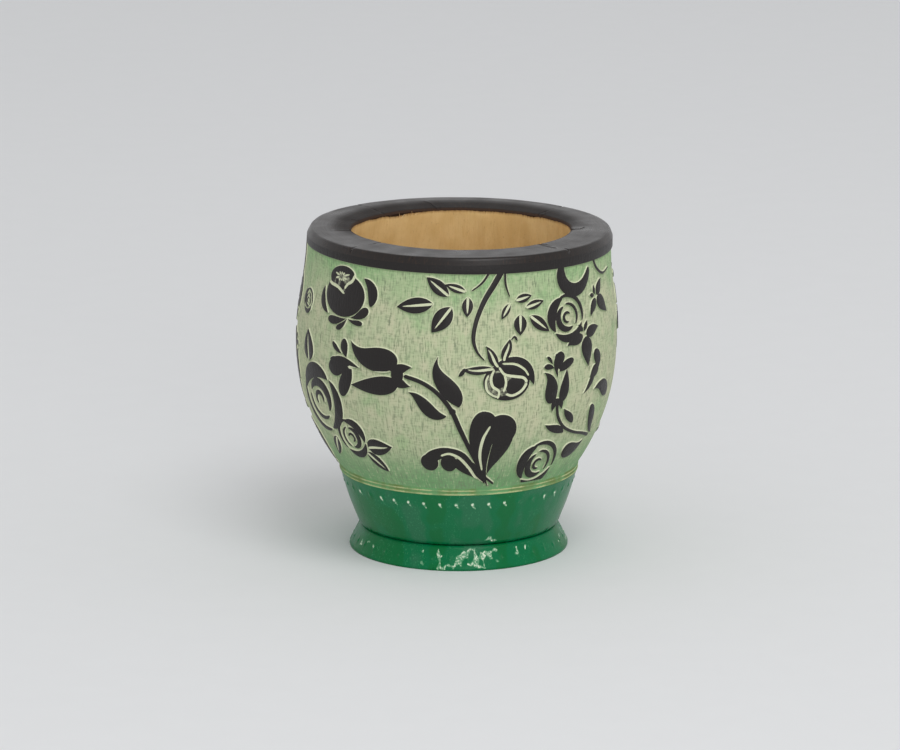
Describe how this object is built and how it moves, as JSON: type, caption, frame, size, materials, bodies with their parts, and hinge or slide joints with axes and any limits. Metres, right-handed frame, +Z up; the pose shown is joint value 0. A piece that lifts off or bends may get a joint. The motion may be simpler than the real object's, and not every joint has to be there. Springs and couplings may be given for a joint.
{
  "type": "mate gourd cup",
  "caption": "Empty round drinking cup made from a thick-walled gourd, with carved floral relief, a flat rim and a flared foot; holds mate.",
  "frame": {"origin": "middle of the underside of the foot, on the surface that the cup stands on", "axes": "+Z up through the mouth; the side shown in the picture faces -Y, with +X to its right"},
  "size_m": [0.0898, 0.0896, 0.0912],
  "materials": {
    "carved_gourd": "carved calabash skin, dyed yellow green in the ground and near black on the raised motifs, satin",
    "green_paint": "turned foot in deep green gloss paint, worn on its raised grain",
    "stained_rim": "cut gourd edge stained near black, smooth satin on top",
    "bare_gourd": "bare inner wall of the gourd, dry and matt, golden tan"
  },
  "bodies": {
    "root": {"gourd": "carved_gourd", "foot": "green_paint"}
  },
  "joints": []
}
